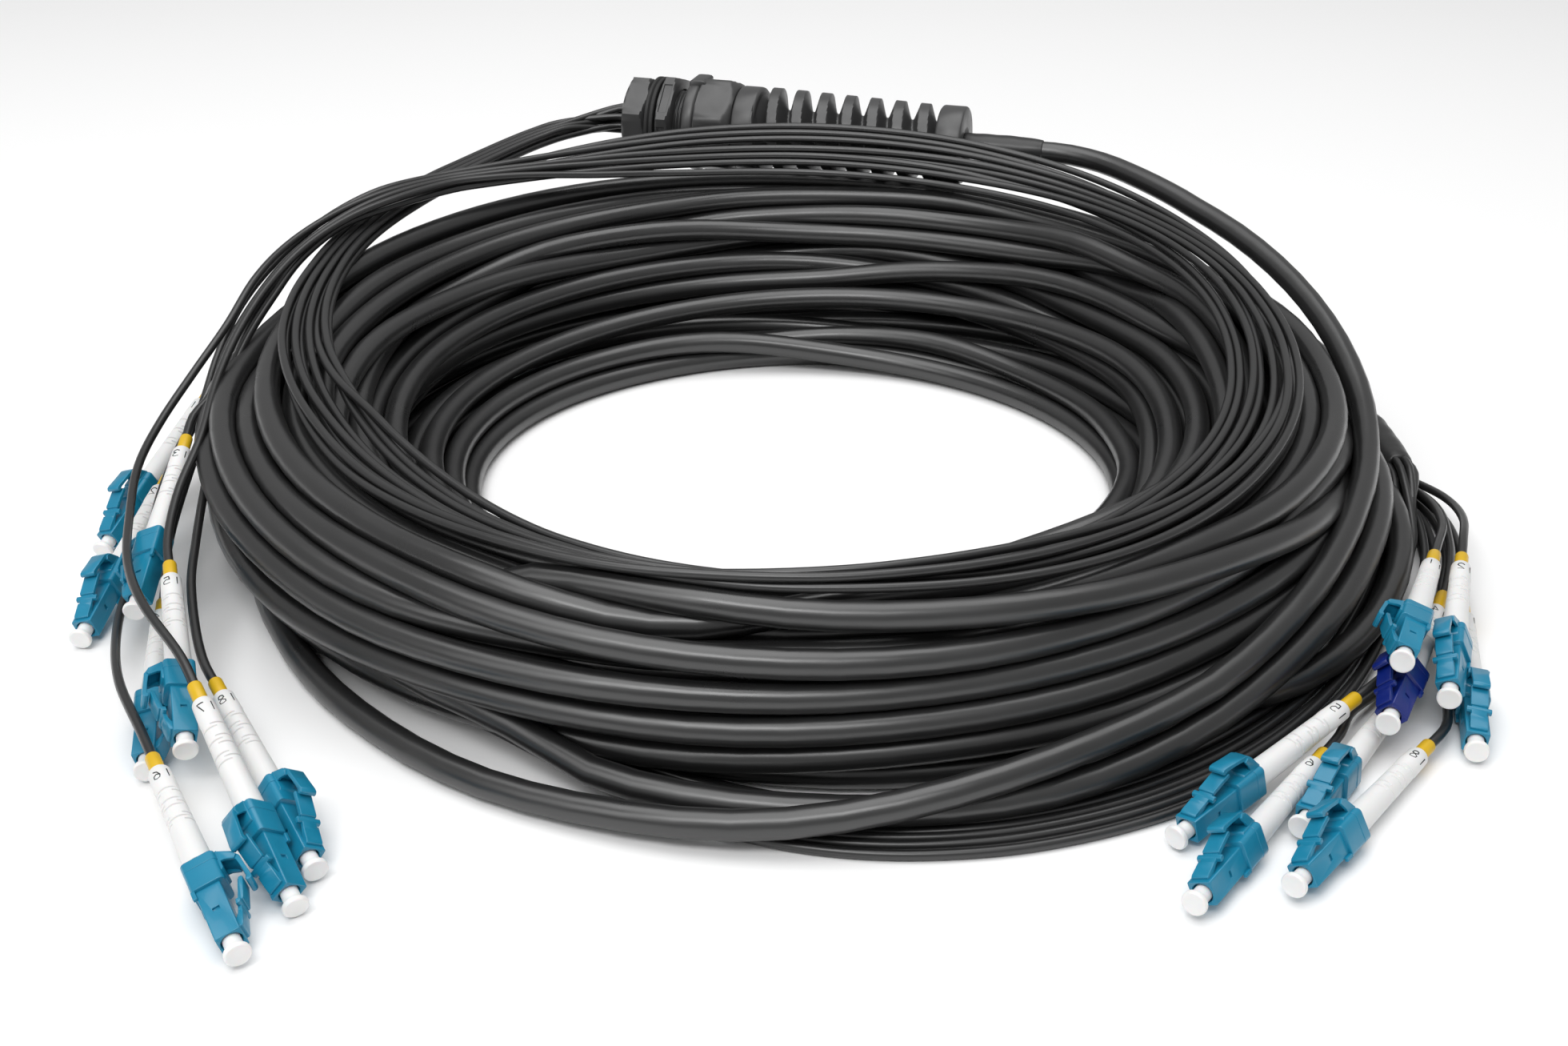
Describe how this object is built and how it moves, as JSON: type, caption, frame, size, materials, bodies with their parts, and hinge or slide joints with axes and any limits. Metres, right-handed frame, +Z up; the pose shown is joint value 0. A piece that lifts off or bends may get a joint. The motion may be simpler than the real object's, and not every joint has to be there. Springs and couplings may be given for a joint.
{
  "type": "fibre breakout cable",
  "caption": "Pre-terminated fibre trunk cable coiled flat, with a ribbed gland at one end, a shrunk divider at the other and thin legs ending in capped push-in plugs.",
  "frame": {"origin": "centre of the coil's bore on the floor it lies on", "axes": "+Z up along the coil's axis; +Y from the picture's near side to its far side, where the gland lies; +X to the picture's right, where the divider lies"},
  "size_m": [0.3257, 0.3467, 0.0682],
  "materials": {
    "jacket": "extruded black cable jacket, satin",
    "nylon": "moulded black nylon, satin",
    "shrink": "black heat-shrink sleeve, satin",
    "boot": "white flexible boot moulding, with a yellow tube at its rear end",
    "plug": "blue moulded plug body, with a white soft dust cap on its nose"
  },
  "bodies": {
    "cable": {"trunk_coil": "jacket", "trunk_gland_tail": "jacket", "trunk_divider_tail": "jacket", "gland_sleeve": "shrink", "gland_end_nut": "nylon", "gland_washer": "nylon", "gland_body": "nylon", "gland_dome_nut": "nylon", "divider": "shrink", "leg_bundle_left": "jacket", "leg_bundle_right": "jacket", "leg_L1": "jacket", "boot_L1": "boot", "plug_L1": "plug", "leg_L2": "jacket", "boot_L2": "boot", "plug_L2": "plug", "leg_L3": "jacket", "boot_L3": "boot", "plug_L3": "plug", "leg_L4": "jacket", "boot_L4": "boot", "plug_L4": "plug", "leg_L5": "jacket", "boot_L5": "boot", "plug_L5": "plug", "leg_L6": "jacket", "boot_L6": "boot", "plug_L6": "plug", "leg_L7": "jacket", "boot_L7": "boot", "plug_L7": "plug", "leg_L8": "jacket", "boot_L8": "boot", "plug_L8": "plug", "leg_R1": "jacket", "boot_R1": "boot", "plug_R1": "plug", "leg_R2": "jacket", "boot_R2": "boot", "plug_R2": "plug", "leg_R3": "jacket", "boot_R3": "boot", "plug_R3": "plug", "leg_R4": "jacket", "boot_R4": "boot", "plug_R4": "plug", "leg_R5": "jacket", "boot_R5": "boot", "plug_R5": "plug", "leg_R6": "jacket", "boot_R6": "boot", "plug_R6": "plug", "leg_R7": "jacket", "boot_R7": "boot", "plug_R7": "plug", "leg_R8": "jacket", "boot_R8": "boot", "plug_R8": "plug"},
    "locknut": {"gland_locknut": "nylon"}
  },
  "joints": [
    {"name": "locknut_spin", "type": "hinge", "parent": "cable", "child": "locknut", "pos_m": [-0.0345, 0.14275, 0.05238], "axis": [0.9613, -0.2756, 0], "continuous": true}
  ]
}
